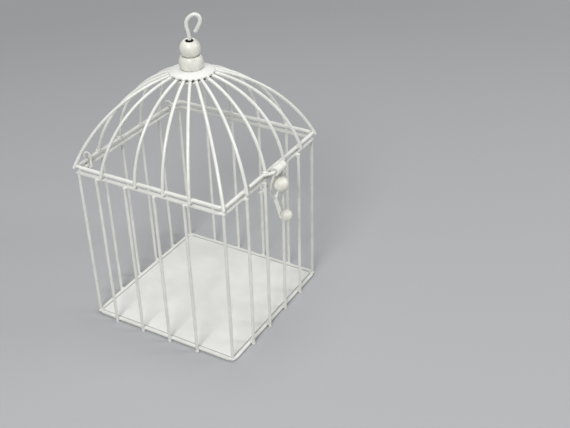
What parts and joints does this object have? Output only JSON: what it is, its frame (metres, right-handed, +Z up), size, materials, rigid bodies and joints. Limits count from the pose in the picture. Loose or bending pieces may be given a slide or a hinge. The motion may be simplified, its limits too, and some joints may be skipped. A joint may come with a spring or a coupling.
{
  "type": "wedding card box",
  "caption": "Square wire birdcage for wedding cards: barred body on a sheet floor, hinged dome lid of curved ribs, loop-and-ball hasp, beaded finial with a hanging hook.",
  "frame": {"origin": "on the axis of the cage, in the plane that the feet of the bars stand on", "axes": "+Z up along the axis of the cage, -Y towards the hasp, +X to the right when the hasp is faced"},
  "size_m": [0.1894, 0.2058, 0.3341],
  "materials": {
    "wire_enamel": "warm white gloss enamel on steel wire, pooled at the welds",
    "sheet_enamel": "warm white satin enamel on steel sheet",
    "bead_paint": "warm white gloss paint on turned wood"
  },
  "bodies": {
    "cage": {"back_bar_1": "wire_enamel", "back_bar_2": "wire_enamel", "back_bar_3": "wire_enamel", "back_bar_4": "wire_enamel", "body_ring": "wire_enamel", "bottom_ring": "wire_enamel", "catch_ball": "bead_paint", "catch_crossbar": "wire_enamel", "catch_stem": "wire_enamel", "corner_bar_back_left": "wire_enamel", "corner_bar_back_right": "wire_enamel", "corner_bar_front_left": "wire_enamel", "corner_bar_front_right": "wire_enamel", "floor_panel": "sheet_enamel", "front_bar_1": "wire_enamel", "front_bar_2": "wire_enamel", "front_bar_3": "wire_enamel", "front_bar_4": "wire_enamel", "hinge_loop_left": "wire_enamel", "hinge_loop_right": "wire_enamel", "left_bar_1": "wire_enamel", "left_bar_2": "wire_enamel", "left_bar_3": "wire_enamel", "left_bar_4": "wire_enamel", "right_bar_1": "wire_enamel", "right_bar_2": "wire_enamel", "right_bar_3": "wire_enamel", "right_bar_4": "wire_enamel"},
    "lid": {"back_rib_1": "wire_enamel", "back_rib_2": "wire_enamel", "back_rib_3": "wire_enamel", "back_rib_4": "wire_enamel", "corner_rib_back_left": "wire_enamel", "corner_rib_back_right": "wire_enamel", "corner_rib_front_left": "wire_enamel", "corner_rib_front_right": "wire_enamel", "crown_plate": "sheet_enamel", "front_rib_1": "wire_enamel", "front_rib_2": "wire_enamel", "front_rib_3": "wire_enamel", "front_rib_4": "wire_enamel", "latch_pin": "wire_enamel", "left_rib_1": "wire_enamel", "left_rib_2": "wire_enamel", "left_rib_3": "wire_enamel", "left_rib_4": "wire_enamel", "lid_ring": "wire_enamel", "retaining_plate": "sheet_enamel", "right_rib_1": "wire_enamel", "right_rib_2": "wire_enamel", "right_rib_3": "wire_enamel", "right_rib_4": "wire_enamel"},
    "hasp": {"hasp_barrel": "wire_enamel", "hasp_loop": "wire_enamel", "pull_bead": "bead_paint"},
    "hook": {"hook": "wire_enamel", "shank_head": "wire_enamel"},
    "upper_bead": {"upper_bead": "bead_paint"},
    "lower_bead": {"lower_bead": "bead_paint"}
  },
  "joints": [
    {"name": "lid_hinge", "type": "hinge", "parent": "cage", "child": "lid", "pos_m": [0, 0.089, 0.1868], "axis": [-1, 0, 0], "range_deg": [0, 105]},
    {"name": "hasp_hinge", "type": "hinge", "parent": "lid", "child": "hasp", "pos_m": [0, -0.0975, 0.1889], "axis": [-1, 0, 0], "range_deg": [0, 120]},
    {"name": "hook_swivel", "type": "hinge", "parent": "lid", "child": "hook", "pos_m": [0, 0, 0.3], "axis": [0, 0, 1], "continuous": true},
    {"name": "upper_bead_spin", "type": "hinge", "parent": "lid", "child": "upper_bead", "pos_m": [0, 0, 0.297], "axis": [0, 0, 1], "continuous": true},
    {"name": "lower_bead_spin", "type": "hinge", "parent": "lid", "child": "lower_bead", "pos_m": [0, 0, 0.283], "axis": [0, 0, 1], "continuous": true}
  ]
}
